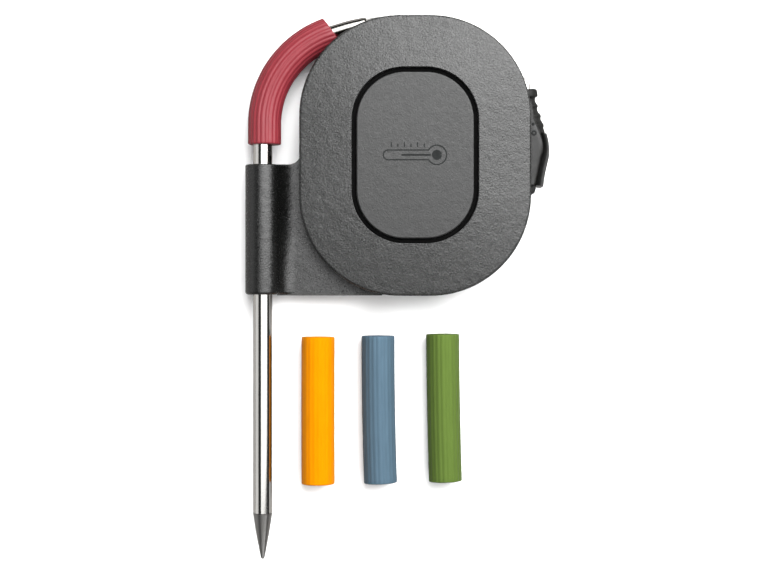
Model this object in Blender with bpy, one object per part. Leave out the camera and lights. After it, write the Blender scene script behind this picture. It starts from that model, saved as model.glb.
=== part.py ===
"""Probe thermometer stored on its cable wrap, with three spare colour sleeves.

The wrap lies on its back: +Z points out of the front face, +Y up along the probe
and +X to the right. The origin is the centre of the rear flange's back face.
Lengths are written in millimetres and multiplied by MM.
"""
import math

import bmesh
import bpy
from mathutils import Vector

MM = 0.001

# Wrap
FLANGE_HALF = (30.05, 36.4)
FLANGE_CORNER = 26.05
REAR_TOP = 2.4
FRONT_BACK = 12.6
RIM_TOP = 14.5
CROWN_TOP = 15.4
POCKET_HALF = (16.6, 23.0)
POCKET_CORNER = 13.9
POCKET_FLOOR = 13.6
CAP_HALF = (15.1, 21.45)
CAP_CORNER = 12.4
CAP_TOP = 15.4
DRUM_HALF = (16.5, 22.7)
DRUM_CORNER = 12.0
DRUM_WALL = 2.0
DRUM_SPAN = (2.7, 12.3)
BOSSES = [(11.9, 9.0), (-11.9, 9.0), (11.9, -9.0), (-11.9, -9.0)]
BOSS_R = 2.9
PILOT_R = 1.0
SCREW_HEAD_R = 1.7
SCREW_FACETS = 12

# Probe and its holder
MID = 7.5
PROBE_X = -40.0
PROBE_R = 2.5
SHEATH_WALL = 0.35
TIP_END = -105.6
TIP_BASE = -93.6
HOLDER_R = 4.55
HOLDER_BORE_R = 2.8
HOLDER_SPAN = (-36.0, -2.0)
FOOT_TOP = 6.5
FOOT_FILLET = 4.9
BEND_Y = 8.65
BEND_R = 25.7
SHEATH_TURN = 63.0
SLEEVE_TURN = 73.0
SLEEVE_START = 3.3
SLEEVE_R = 4.4
SLEEVE_RIB = 0.28
SLEEVE_RIBS = 20

# Cable and plug
CABLE_R = 1.25
CRIMP_R = 1.8
COLUMN_LOW = 3.9
COLUMN_HIGH = 11.1
PIN_Y = -3.0
PIN_R = 1.75

# Spare sleeves: name, centre, tilt in degrees
SPARE_LENGTH = 39.0
SPARE_BORE_R = 2.35
SPARES = [
    ("sleeve_yellow", (-25.55, -66.8), 0.0, (0.90, 0.36, 0.005)),
    ("sleeve_blue", (-9.35, -66.5), 1.0, (0.17, 0.26, 0.34)),
    ("sleeve_green", (7.8, -66.05), 1.1, (0.18, 0.27, 0.055)),
]


def clear_scene():
    for item in list(bpy.data.objects):
        bpy.data.objects.remove(item, do_unlink=True)


def material(name, colour, metallic=0.0, roughness=0.5):
    made = bpy.data.materials.new(name)
    made.use_nodes = True
    shader = made.node_tree.nodes["Principled BSDF"]
    shader.inputs["Base Color"].default_value = (*colour, 1.0)
    shader.inputs["Metallic"].default_value = metallic
    shader.inputs["Roughness"].default_value = roughness
    made.diffuse_color = (*colour, 1.0)
    return made


def mesh_object(name, mesh_data, mat, smooth_angle=35.0):
    bmesh.ops.recalc_face_normals(mesh_data, faces=mesh_data.faces)
    mesh = bpy.data.meshes.new(name)
    mesh_data.to_mesh(mesh)
    mesh_data.free()
    mesh.materials.append(mat)
    mesh.shade_smooth()
    mesh.set_sharp_from_angle(angle=math.radians(smooth_angle))
    made = bpy.data.objects.new(name, mesh)
    bpy.context.collection.objects.link(made)
    return made


def guide(made):
    """Keep a cutter or a union piece out of the model itself."""
    made.hide_render = True
    made.display_type = "WIRE"
    return made


def combine(target, tool, operation):
    step = target.modifiers.new(operation.lower(), "BOOLEAN")
    step.operation = operation
    step.solver = "EXACT"
    step.object = guide(tool)


def skin(name, rings, mat, smooth_angle=35.0):
    """Closed solid through rings of equal length, with a flat face on each end."""
    data = bmesh.new()
    loops = [[data.verts.new(Vector(p) * MM) for p in ring] for ring in rings]
    count = len(rings[0])
    for low, high in zip(loops, loops[1:]):
        for i in range(count):
            j = (i + 1) % count
            data.faces.new((low[i], low[j], high[j], high[i]))
    data.faces.new(loops[0])
    data.faces.new(loops[-1])
    return mesh_object(name, data, mat, smooth_angle)


def pipe(name, outer, inner, mat, smooth_angle=35.0):
    """Open-ended pipe through equal numbers of outer and inner rings."""
    data = bmesh.new()
    rings = outer + inner[::-1]
    loops = [[data.verts.new(Vector(p) * MM) for p in ring] for ring in rings]
    count = len(rings[0])
    for k in range(len(loops)):
        low = loops[k]
        high = loops[(k + 1) % len(loops)]
        for i in range(count):
            j = (i + 1) % count
            data.faces.new((low[i], low[j], high[j], high[i]))
    return mesh_object(name, data, mat, smooth_angle)


def outline(half, corner, z, steps=10, shrink=0.0):
    """Rounded rectangle, counter-clockwise from the right side."""
    half_x = half[0] - shrink
    half_y = half[1] - shrink
    radius = corner - shrink
    points = []
    for quarter, (sx, sy) in enumerate(((1, 1), (-1, 1), (-1, -1), (1, -1))):
        cx = sx * (half_x - radius)
        cy = sy * (half_y - radius)
        for i in range(steps + 1):
            turn = math.radians(90.0 * (quarter + i / steps))
            points.append((cx + radius * math.cos(turn), cy + radius * math.sin(turn), z))
    return points


def ring_about(centre, radius, axis, count=24):
    """Circle of points about an axis letter through a centre."""
    points = []
    for i in range(count):
        turn = 2.0 * math.pi * i / count
        a = radius * math.cos(turn)
        b = radius * math.sin(turn)
        offset = {"X": (0.0, a, b), "Y": (b, 0.0, a), "Z": (a, b, 0.0)}[axis]
        points.append(tuple(c + o for c, o in zip(centre, offset)))
    return points


def round_bar(name, stations, axis, mat, count=24, smooth_angle=35.0):
    """Turned bar: stations are (centre, radius) along an axis letter."""
    rings = [ring_about(centre, radius, axis, count) for centre, radius in stations]
    return skin(name, rings, mat, smooth_angle)


def bar_along(name, fixed, axis, profile, mat, count=24):
    """Turned bar from (position, radius) pairs measured along the axis."""
    slot = "XYZ".index(axis)
    stations = []
    for place, radius in profile:
        centre = list(fixed)
        centre[slot] = place
        stations.append((tuple(centre), radius))
    return round_bar(name, stations, axis, mat, count)


def probe_route(start_y, turn_end, straight_step=40.0, arc_step=5.0):
    """Centre line of the bent probe as (point, tangent) pairs, starting at start_y."""
    stations = []
    steps = max(1, int(math.ceil((BEND_Y - start_y) / straight_step)))
    for i in range(steps):
        y = start_y + (BEND_Y - start_y) * i / steps
        stations.append((Vector((PROBE_X, y, MID)), Vector((0.0, 1.0, 0.0))))
    arcs = int(math.ceil(turn_end / arc_step))
    for i in range(arcs + 1):
        turn = math.radians(turn_end * i / arcs)
        x = PROBE_X + BEND_R * (1.0 - math.cos(turn))
        y = BEND_Y + BEND_R * math.sin(turn)
        tangent = Vector((math.sin(turn), math.cos(turn), 0.0))
        stations.append((Vector((x, y, MID)), tangent))
    return stations


def sweep(stations, radii):
    """Rings along a flat route; radii lists one radius per point around the ring."""
    rings = []
    count = len(radii)
    for centre, tangent in stations:
        side = Vector((tangent.y, -tangent.x, 0.0))
        ring = []
        for i, radius in enumerate(radii):
            turn = 2.0 * math.pi * i / count
            offset = side * math.cos(turn) + Vector((0.0, 0.0, 1.0)) * math.sin(turn)
            ring.append(tuple(centre + offset * radius))
        rings.append(ring)
    return rings


def rib_radii():
    """Outer radii of a ribbed sleeve: each rib is a crest and a valley."""
    radii = []
    for _ in range(SLEEVE_RIBS):
        radii += [SLEEVE_R, SLEEVE_R - SLEEVE_RIB]
    return radii


def cord(name, points, radius, mat, facets=2):
    """Cable or wire with closed ends along straight segments."""
    data = bpy.data.curves.new(name, "CURVE")
    data.dimensions = "3D"
    data.bevel_depth = radius * MM
    data.bevel_resolution = facets
    data.use_fill_caps = True
    data.render_resolution_u = 0
    line = data.splines.new("POLY")
    line.points.add(len(points) - 1)
    for slot, point in zip(line.points, points):
        slot.co = (*(Vector(point) * MM), 1.0)
    data.materials.append(mat)
    made = bpy.data.objects.new(name, data)
    bpy.context.collection.objects.link(made)
    return made


# Wrap pieces

def make_rear_flange(plastic, hollow):
    """Back plate with the straight-edged foot and the probe holder moulded on it."""
    border = plate_border()
    tops = [(x, y, REAR_TOP) for x, y, _ in border]
    body = skin("rear_flange", [border, tops], plastic)
    add_foot(body, plastic)
    add_holder(body, plastic)
    for i, (x, y) in enumerate(BOSSES):
        sink = [(-1.0, 2.1), (1.5, 2.1), (1.5, 1.1), (3.5, 1.1)]
        cutter = bar_along("screw_hole_%d" % i, (x, y, 0.0), "Z", sink, hollow, 20)
        combine(body, cutter, "DIFFERENCE")
    return body


# Concave corner between the foot's upper edge and the flange.
FOOT_CORNER = [(-30.35, -0.6), (-30.94, -1.27), (-31.8, -1.77), (-33.25, -2.1)]


def plate_border():
    """Outline of the back plate: three rounded corners and the square foot."""
    foot = [(-30.05, 0.1, 0.0)] + [(x, y, 0.0) for x, y in FOOT_CORNER]
    foot += [(-38.0, -2.1, 0.0), (-38.0, -36.0, 0.0), (-16.0, -36.0, 0.0)]
    points = []
    for p in outline(FLANGE_HALF, FLANGE_CORNER, 0.0):
        lower_left = p[0] < -7.5 and p[1] < 0.6
        if not lower_left:
            points.append(p)
    split = next(i for i, p in enumerate(points) if p[0] < 0.0 and p[1] < 12.0) + 1
    return points[:split] + foot + points[split:]


def add_foot(body, plastic):
    """Thick corner beside the winding space, up to half the height of the wrap."""
    corner = [p for p in outline(FLANGE_HALF, FLANGE_CORNER, 0.0, shrink=1.5) if p[1] < 0.0 and p[0] < -9.0]
    border = [(-36.0, -2.15)] + [(x, y - 0.05) for x, y in reversed(FOOT_CORNER)]
    border += [(-29.9, 0.3), (-28.5, 0.3)]
    border += [(x, y) for x, y, _ in corner]
    border += [(-9.0, -35.9), (-36.0, -35.9)]
    rings = [[(x, y, z) for x, y in border] for z in (1.0, FOOT_TOP)]
    combine(body, skin("foot", rings, plastic), "UNION")


def add_holder(body, plastic):
    """Tube that holds the probe, running into the foot with a wide fillet."""
    reach = HOLDER_R + FOOT_FILLET
    rise = FOOT_TOP + 0.02 + FOOT_FILLET - MID
    lean = math.asin(rise / reach)
    fillet_x = PROBE_X + reach * math.cos(lean)
    profile = []
    for i in range(17):
        turn = lean + (math.pi - lean) * i / 16
        profile.append((PROBE_X + HOLDER_R * math.cos(turn), MID + HOLDER_R * math.sin(turn)))
    profile += [(-44.55, 1.2), (-43.7, 0.3), (fillet_x, 0.3)]
    for i in range(9):
        turn = -0.5 * math.pi - (0.5 * math.pi - lean) * i / 9
        profile.append((fillet_x + FOOT_FILLET * math.cos(turn), MID + rise + FOOT_FILLET * math.sin(turn)))
    low = HOLDER_SPAN[0] - 0.1
    high = HOLDER_SPAN[1]
    rings = []
    for y, inset in ((low, 0.5), (low + 0.5, 0.0), (high - 0.4, 0.0), (high, 0.4)):
        ring = []
        for x, z in profile:
            scale = 1.0 - inset / HOLDER_R if x < -37.0 and z > 5.0 else 1.0
            ring.append((PROBE_X + (x - PROBE_X) * scale, y, MID + (z - MID) * scale))
        rings.append(ring)
    tube = skin("holder_tube", rings, plastic)
    combine(body, tube, "UNION")
    bore = bar_along("holder_bore", (PROBE_X, 0.0, MID), "Y",
                     [(low - 2.0, HOLDER_BORE_R), (high + 2.0, HOLDER_BORE_R)], plastic, 24)
    combine(body, bore, "DIFFERENCE")


def make_front_flange(plastic, hollow):
    """Crowned front plate with the pocket that leaves a groove around the cap."""
    rings = [
        outline(FLANGE_HALF, FLANGE_CORNER, FRONT_BACK, shrink=0.4),
        outline(FLANGE_HALF, FLANGE_CORNER, FRONT_BACK + 0.4),
        outline(FLANGE_HALF, FLANGE_CORNER, RIM_TOP - 0.6),
        outline(FLANGE_HALF, FLANGE_CORNER, RIM_TOP, shrink=0.6),
        outline(POCKET_HALF, POCKET_CORNER, CROWN_TOP, shrink=-0.3),
        outline(POCKET_HALF, POCKET_CORNER, CROWN_TOP - 0.3),
        outline(POCKET_HALF, POCKET_CORNER, POCKET_FLOOR),
    ]
    body = skin("front_flange", rings, plastic, 25.0)
    for i in (0, 3):
        x, y = BOSSES[i]
        hole = [(FRONT_BACK - 1.0, 1.15), (POCKET_FLOOR + 1.0, 1.15)]
        cutter = bar_along("cap_screw_hole_%d" % i, (x, y, 0.0), "Z", hole, hollow, 16)
        combine(body, cutter, "DIFFERENCE")
    return body


def make_center_cap(plastic):
    """Flat cap that clips into the pocket and hides the front screws."""
    rings = [
        outline(CAP_HALF, CAP_CORNER, CAP_TOP, shrink=0.35),
        outline(CAP_HALF, CAP_CORNER, CAP_TOP - 0.35),
        outline(CAP_HALF, CAP_CORNER, POCKET_FLOOR + 0.3),
        outline(CAP_HALF, CAP_CORNER, POCKET_FLOOR + 0.3, shrink=1.2),
        outline(CAP_HALF, CAP_CORNER, CAP_TOP - 0.7, shrink=1.2),
    ]
    return skin("center_cap", rings, plastic)


def make_drum(plastic, hollow):
    """Winding core: a wall with four screw bosses and the hole for the plug's pin."""
    outer = [outline(DRUM_HALF, DRUM_CORNER, z) for z in DRUM_SPAN]
    inner = [outline(DRUM_HALF, DRUM_CORNER, z, shrink=DRUM_WALL) for z in DRUM_SPAN]
    body = pipe("winding_drum", outer, inner, plastic)
    for i, (x, y) in enumerate(BOSSES):
        post = bar_along("boss_%d" % i, (x, y, 0.0), "Z",
                         [(DRUM_SPAN[0] + 0.2, BOSS_R), (DRUM_SPAN[1] - 0.2, BOSS_R)], plastic, 20)
        combine(body, post, "UNION")
    for i, (x, y) in enumerate(BOSSES):
        spans = [(DRUM_SPAN[0] - 1.0, 7.2)]
        if i in (0, 3):
            spans.append((8.4, DRUM_SPAN[1] + 1.0))
        for k, (low, high) in enumerate(spans):
            cutter = bar_along("pilot_%d_%d" % (i, k), (x, y, 0.0), "Z",
                               [(low, PILOT_R), (high, PILOT_R)], hollow, 16)
            combine(body, cutter, "DIFFERENCE")
    socket = bar_along("socket_hole", (0.0, PIN_Y, MID), "X",
                       [(DRUM_HALF[0] - 3.5, PIN_R + 0.3), (DRUM_HALF[0] + 1.0, PIN_R + 0.3)],
                       hollow, 20)
    combine(body, socket, "DIFFERENCE")
    return body


def make_screw(name, place, head_z, tip_z, steel):
    """Pan-head screw with a hexagon socket; the head is at head_z."""
    x, y = place
    out = 1.0 if tip_z > head_z else -1.0
    hexagon = []
    for i, (px, py, _) in enumerate(ring_about((x, y, 0.0), 0.85, "Z", SCREW_FACETS)):
        flat = math.cos(math.radians(30.0)) if i % 2 else 1.0
        hexagon.append((x + (px - x) * flat, y + (py - y) * flat))
    rings = [
        [(px, py, head_z + out * 0.6) for px, py in hexagon],
        [(px, py, head_z) for px, py in hexagon],
    ]
    profile = [(0.0, SCREW_HEAD_R - 0.3), (0.3, SCREW_HEAD_R), (1.0, SCREW_HEAD_R), (1.0, 0.75)]
    for depth, radius in profile:
        rings.append(ring_about((x, y, head_z + out * depth), radius, "Z", SCREW_FACETS))
    rings.append(ring_about((x, y, tip_z - out * 0.6), 0.75, "Z", SCREW_FACETS))
    rings.append(ring_about((x, y, tip_z), 0.3, "Z", SCREW_FACETS))
    return skin(name, rings, steel)


# Probe pieces

def make_sheath(steel):
    route = probe_route(TIP_BASE + 0.3, SHEATH_TURN)
    outer = sweep(route, [PROBE_R] * 24)
    inner = sweep(route, [PROBE_R - SHEATH_WALL] * 24)
    return pipe("probe_sheath", outer, inner, steel, 50.0)


def make_tip(steel):
    """Pointed end: a slightly full cone with a spigot inside the sheath."""
    profile = [(TIP_END, 0.25), (TIP_END + 0.25, 0.5), (TIP_END + 3.0, 0.98)]
    profile += [(TIP_END + 6.5, 1.62), (TIP_END + 9.5, 2.17), (TIP_BASE - 0.6, 2.42)]
    profile += [(TIP_BASE, PROBE_R), (TIP_BASE, 1.8), (TIP_BASE + 2.5, 1.8)]
    return bar_along("probe_tip", (PROBE_X, 0.0, MID), "Y", profile, steel, 32)


def make_sensor(glass, ceramic, copper):
    """Thermistor bead, its two leads and the insulator they run through."""
    bead_y = TIP_BASE + 4.4
    bead = []
    for i in range(1, 8):
        turn = math.pi * i / 8
        bead.append((bead_y - 1.3 * math.cos(turn), 1.1 * math.sin(turn)))
    made = [bar_along("thermistor_bead", (PROBE_X, 0.0, MID), "Y", bead, glass, 16)]
    rod = bar_along("sensor_insulator", (PROBE_X, 0.0, MID), "Y",
                    [(bead_y + 2.4, 1.7), (bead_y + 26.0, 1.7)], ceramic, 20)
    for side, label in ((-0.75, "left"), (0.75, "right")):
        hole = bar_along("insulator_bore_" + label, (PROBE_X + side, 0.0, MID), "Y",
                         [(bead_y + 1.0, 0.4), (bead_y + 28.0, 0.4)], ceramic, 12)
        combine(rod, hole, "DIFFERENCE")
        points = [(PROBE_X + side, bead_y + 1.6, MID), (PROBE_X + side, bead_y + 30.0, MID)]
        for centre, tangent in probe_route(-40.0, SHEATH_TURN - 4.0, 20.0, 8.0):
            normal = Vector((tangent.y, -tangent.x, 0.0))
            points.append(tuple(centre + normal * side))
        made.append(cord("sensor_lead_" + label, points, 0.18, copper, 1))
    made.append(rod)
    return made


def crimp_route():
    """Centre line from inside the sheath's end to the start of the bare cable."""
    stations = []
    for turn in (55.0, 60.0):
        angle = math.radians(turn)
        x = PROBE_X + BEND_R * (1.0 - math.cos(angle))
        y = BEND_Y + BEND_R * math.sin(angle)
        tangent = Vector((math.sin(angle), math.cos(angle), 0.0))
        stations.append((Vector((x, y, MID)), tangent))
    for x, y, slope in ((-24.3, 31.95, 0.36), (-20.8, 33.05, 0.26), (-16.9, 34.0, 0.23), (-12.6, 34.95, 0.2)):
        stations.append((Vector((x, y, MID)), Vector((1.0, slope, 0.0)).normalized()))
    return stations


def make_crimp(steel):
    route = crimp_route()
    outer = sweep(route, [CRIMP_R] * 20)
    inner = sweep(route, [CABLE_R + 0.14] * 20)
    return pipe("crimp_ferrule", outer, inner, steel, 50.0)


def make_red_sleeve(silicone):
    """Ribbed silicone sleeve stretched over the probe's bend."""
    route = probe_route(SLEEVE_START, SLEEVE_TURN, 6.0, 6.0)
    outer = sweep(route, rib_radii())
    inner = sweep(route, [PROBE_R + 0.15] * (2 * SLEEVE_RIBS))
    return pipe("sleeve_red", outer, inner, silicone, 70.0)


def make_spare_sleeve(name, centre, tilt, silicone):
    """Straight ribbed sleeve lying flat, turned a little about the vertical."""
    angle = math.radians(tilt)
    along = Vector((math.sin(angle), -math.cos(angle), 0.0))
    middle = Vector((centre[0], centre[1], SLEEVE_R))
    half = SPARE_LENGTH / 2
    places = (-half, -half + 0.3, half - 0.3, half)
    stations = [(middle + along * place, along) for place in places]
    outer = sweep(stations, rib_radii())
    for k in (0, -1):
        station = [stations[k]]
        outer[k] = sweep(station, [radius - 0.3 for radius in rib_radii()])[0]
    inner = sweep(stations, [SPARE_BORE_R] * (2 * SLEEVE_RIBS))
    return pipe(name, outer, inner, silicone, 70.0)


# Cable

def winding_point(turn, offset, z):
    """Point wound around the drum: turn 0 is the right side's middle, anticlockwise."""
    flat_x = 2.0 * (DRUM_HALF[0] - DRUM_CORNER)
    flat_y = 2.0 * (DRUM_HALF[1] - DRUM_CORNER)
    arc = 0.5 * math.pi * (DRUM_CORNER + 5.0)
    spans = [flat_y / 2, arc, flat_x, arc, flat_y, arc, flat_x, arc, flat_y / 2]
    starts = [(1, 0), (1, 1), (1, 1), (-1, 1), (-1, 1), (-1, -1), (-1, -1), (1, -1), (1, -1)]
    ends = starts[1:] + [(1, 0)]
    travel = (turn % 1.0) * sum(spans)
    part = 0
    while travel > spans[part] and part < 8:
        travel -= spans[part]
        part += 1
    share = travel / spans[part]
    core_x = flat_x / 2 * (starts[part][0] * (1 - share) + ends[part][0] * share)
    core_y = flat_y / 2 * (starts[part][1] * (1 - share) + ends[part][1] * share)
    quarters = (part // 2) + (share if part % 2 else 0.0)
    angle = 0.5 * math.pi * quarters
    radius = DRUM_CORNER + offset
    return (core_x + radius * math.cos(angle), core_y + radius * math.sin(angle), z)


# Turn, distance out from the drum's wall, height: inwards low, outwards high.
WINDING = [
    (0.115, 12.0, 7.5), (0.15, 11.0, 6.6), (0.20, 9.9, 5.0), (0.27, 8.9, COLUMN_LOW),
    (1.27, 6.3, COLUMN_LOW), (2.27, 3.7, COLUMN_LOW), (3.05, 1.5, COLUMN_LOW),
    (3.25, 1.45, COLUMN_HIGH), (4.25, 4.1, COLUMN_HIGH), (5.25, 6.75, COLUMN_HIGH),
    (6.0, 8.7, COLUMN_HIGH), (6.08, 9.4, 10.2), (6.14, 11.2, 8.6), (6.18, 12.6, 7.6),
]


def winding_route():
    """Whole wound route from the first control entry to the last."""
    points = []
    count = 185
    first = WINDING[0][0]
    last = WINDING[-1][0]
    for i in range(count + 1):
        turn = first + (last - first) * i / count
        k = max(n for n in range(len(WINDING) - 1) if WINDING[n][0] <= turn)
        low = WINDING[k]
        high = WINDING[k + 1]
        share = (turn - low[0]) / (high[0] - low[0])
        offset = low[1] + (high[1] - low[1]) * share
        z = low[2] + (high[2] - low[2]) * share
        points.append(winding_point(turn, offset, z))
    return points


def make_cable(braid):
    """Lead out to the plug, the wound length and the lead in to the probe."""
    wound = winding_route()
    lead_out = [(30.43, 9.0, MID), (29.88, 13.0, MID), (29.19, 18.0, MID), (28.8, 19.0, MID)]
    lead_out.append((27.9, 20.4, MID))
    top_run = [(8.6, 35.45, MID), (4.0, 35.5, MID), (0.0, 35.5, MID)]
    lead_in = [(-0.6, 35.5, MID), (-6.0, 35.5, MID), (-9.5, 35.4, MID)]
    for centre, _ in crimp_route()[:2:-1]:
        lead_in.append(tuple(centre))
    made = [cord("cable_lead_out", lead_out, CABLE_R, braid)]
    made.append(cord("cable_wound", wound + top_run, CABLE_R, braid))
    made.append(cord("cable_lead_in", lead_in, CABLE_R, braid))
    return made


# Plug

def plate_rings(border, low, high, edge=0.5):
    """Rings of a flat piece with a small bevel on both faces."""
    centre_x = sum(p[0] for p in border) / len(border)
    centre_y = sum(p[1] for p in border) / len(border)
    inset = []
    for x, y in border:
        reach = math.hypot(x - centre_x, y - centre_y)
        scale = (reach - edge) / reach
        inset.append((centre_x + (x - centre_x) * scale, centre_y + (y - centre_y) * scale))
    rings = []
    for points, z in ((inset, low), (border, low + edge), (border, high - edge), (inset, high)):
        rings.append([(x, y, z) for x, y in points])
    return rings


# Right-hand edge of the lens-shaped plug face, from the boot's side downwards.
LENS_EDGE = [(30.3, 14.2), (31.1, 9.95), (32.4, 6.7), (33.2, 4.4), (33.45, 1.8), (32.7, -1.1), (31.9, -5.0),
             (31.4, -7.3)]
BOOT_LOW = Vector((30.85, 6.0, MID))
BOOT_HIGH = Vector((29.25, 17.6, MID))


def make_plug_body(plastic, hollow):
    """Lens-shaped plug with cheeks over and under the boot; it carries the pin."""
    border = [(29.0, 14.0), (28.4, 12.0), (28.4, -7.4), (28.9, -9.6), (31.0, -9.6), (31.9, -8.6)]
    border += [(32.0, -7.9)] + LENS_EDGE[::-1]
    body = skin("plug_body", plate_rings(border, 3.0, 12.0), plastic)
    root = bar_along("pin_root_hole", (0.0, PIN_Y, MID), "X",
                     [(27.0, PIN_R + 0.2), (31.0, PIN_R + 0.2)], hollow, 20)
    combine(body, root, "DIFFERENCE")
    along = (BOOT_HIGH - BOOT_LOW).normalized()
    stations = [(BOOT_LOW - along * 0.3, along), (BOOT_HIGH + along * 2.0, along)]
    combine(body, skin("boot_room", sweep(stations, [3.75] * 28), hollow), "DIFFERENCE")
    return body


def make_plug_grip(plastic):
    """Curved outer grip: a strip beside the lens with a taller lip along its outside."""
    inner = [(x + 0.35, y) for x, y in LENS_EDGE[3:]]
    strip = [(33.6, 5.3)] + inner + [(33.3, -7.5), (33.7, -5.0), (34.2, -2.8), (34.8, -0.15)]
    strip += [(34.85, 1.5), (34.65, 3.5), (34.05, 5.5)]
    lip = [(33.8, 5.6), (34.15, 2.8), (34.3, 0.8), (33.85, -1.45), (33.2, -4.4), (32.6, -7.6)]
    lip += [(33.45, -8.0), (33.85, -5.0), (34.35, -2.8), (34.95, -0.15), (35.0, 1.5), (34.85, 3.6)]
    lip += [(34.25, 5.9)]
    body = skin("plug_grip", plate_rings(strip, 4.0, 10.6, 0.1), plastic)
    combine(body, skin("grip_lip", plate_rings(lip, 3.2, 11.8, 0.25), plastic), "UNION")
    return body


def make_strain_relief(rubber):
    """Ribbed boot where the cable enters the plug, open for the cable."""
    along = (BOOT_HIGH - BOOT_LOW).normalized()
    length = (BOOT_HIGH - BOOT_LOW).length
    profile = [(0.0, 3.4), (0.6, 3.3), (1.2, 3.2), (1.7, 3.35), (2.3, 3.4), (2.8, 3.1), (3.4, 2.85)]
    profile += [(3.9, 2.8), (4.4, 2.95), (5.0, 2.85), (5.5, 2.45), (6.1, 2.25), (6.6, 2.3), (7.1, 2.55)]
    profile += [(7.7, 2.4), (8.2, 2.05), (8.8, 2.0), (9.3, 2.1), (9.6, 2.85), (length - 0.3, 2.85)]
    profile += [(length, 2.6)]
    outer = []
    inner = []
    for place, radius in profile:
        station = [(BOOT_LOW + along * place, along)]
        outer += sweep(station, [radius] * 20)
        inner += sweep(station, [CABLE_R + 0.25] * 20)
    return pipe("strain_relief", outer, inner, rubber, 30.0)


def make_pin(metal, insulator):
    """Plug pin: tip with its centre rod, insulating ring and sleeve contact."""
    axis = (0.0, PIN_Y, MID)
    tip = [(13.9, 0.5), (14.6, 1.2), (15.3, 1.5), (16.0, 1.1), (16.6, PIN_R - 0.2)]
    tip += [(17.0, PIN_R - 0.2), (17.0, 0.6), (29.8, 0.6)]
    made = [bar_along("jack_tip", axis, "X", tip, metal, 20)]
    for name, low, high, mat in (("jack_insulator", 17.3, 18.3, insulator),
                                 ("jack_sleeve", 18.6, 30.4, metal)):
        outer = [ring_about((x, PIN_Y, MID), PIN_R, "X", 20) for x in (low, high)]
        inner = [ring_about((x, PIN_Y, MID), 0.9, "X", 20) for x in (low, high)]
        made.append(pipe(name, outer, inner, mat))
    return made


def joint_frame(name, place, children):
    """Empty on a joint's axis that carries the pieces which move together."""
    empty = bpy.data.objects.new(name, None)
    empty.location = Vector(place) * MM
    bpy.context.collection.objects.link(empty)
    for child in children:
        child.parent = empty
        child.location = -Vector(place) * MM
    return empty


def build():
    clear_scene()
    shell = material("textured_grey_plastic", (0.13, 0.135, 0.13), 0.0, 0.6)
    cap = material("cap_grey_plastic", (0.15, 0.155, 0.15), 0.0, 0.55)
    core = material("core_black_plastic", (0.03, 0.03, 0.03), 0.0, 0.6)
    screw = material("zinc_steel", (0.55, 0.56, 0.58), 1.0, 0.35)
    steel = material("polished_steel", (0.72, 0.71, 0.69), 1.0, 0.15)
    tip_steel = material("ground_steel", (0.45, 0.45, 0.44), 1.0, 0.35)
    glass = material("bead_glass", (0.20, 0.05, 0.02), 0.0, 0.2)
    ceramic = material("white_ceramic", (0.8, 0.78, 0.72), 0.0, 0.5)
    copper = material("tinned_copper", (0.7, 0.55, 0.4), 1.0, 0.3)
    braid = material("steel_braid", (0.5, 0.5, 0.5), 0.9, 0.4)
    red = material("red_silicone", (0.42, 0.085, 0.10), 0.0, 0.6)
    plug_dark = material("plug_black_plastic", (0.045, 0.045, 0.042), 0.0, 0.5)
    plug_grey = material("plug_grey_plastic", (0.11, 0.115, 0.11), 0.0, 0.5)
    boot = material("boot_rubber", (0.05, 0.05, 0.047), 0.0, 0.7)
    contact = material("gold_contact", (0.75, 0.55, 0.25), 1.0, 0.2)
    ring = material("insulating_nylon", (0.02, 0.02, 0.02), 0.0, 0.5)

    make_rear_flange(shell, core)
    make_front_flange(shell, core)
    make_center_cap(cap)
    make_drum(core, core)
    for i, place in enumerate(BOSSES):
        make_screw("back_screw_%d" % (i + 1), place, 0.35, 6.8, screw)
    for i, k in enumerate((0, 3)):
        make_screw("cap_screw_%d" % (i + 1), BOSSES[k], 14.65, 8.8, screw)

    probe = [make_sheath(steel), make_tip(tip_steel), make_crimp(steel), make_red_sleeve(red)]
    probe += make_sensor(glass, ceramic, copper)
    joint_frame("probe_slide_axis", (PROBE_X, 0.0, MID), probe)

    make_cable(braid)
    plug = [make_plug_body(plug_grey, core), make_plug_grip(plug_dark), make_strain_relief(boot)]
    plug += make_pin(contact, ring)
    joint_frame("plug_slide_axis", (DRUM_HALF[0], PIN_Y, MID), plug)

    for name, centre, tilt, colour in SPARES:
        silicone = material(name + "_silicone", colour, 0.0, 0.6)
        spare = make_spare_sleeve(name, centre, tilt, silicone)
        joint_frame(name + "_lift_axis", (*centre, 0.0), [spare])


build()
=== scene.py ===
"""Looks of the probe thermometer, its cable wrap and its spare sleeves.

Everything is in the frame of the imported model: the wrap lies on its back at z = 0,
+Z out of its front face, +Y up along the probe. Lengths are in millimetres, times MM.
"""
import math

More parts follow.
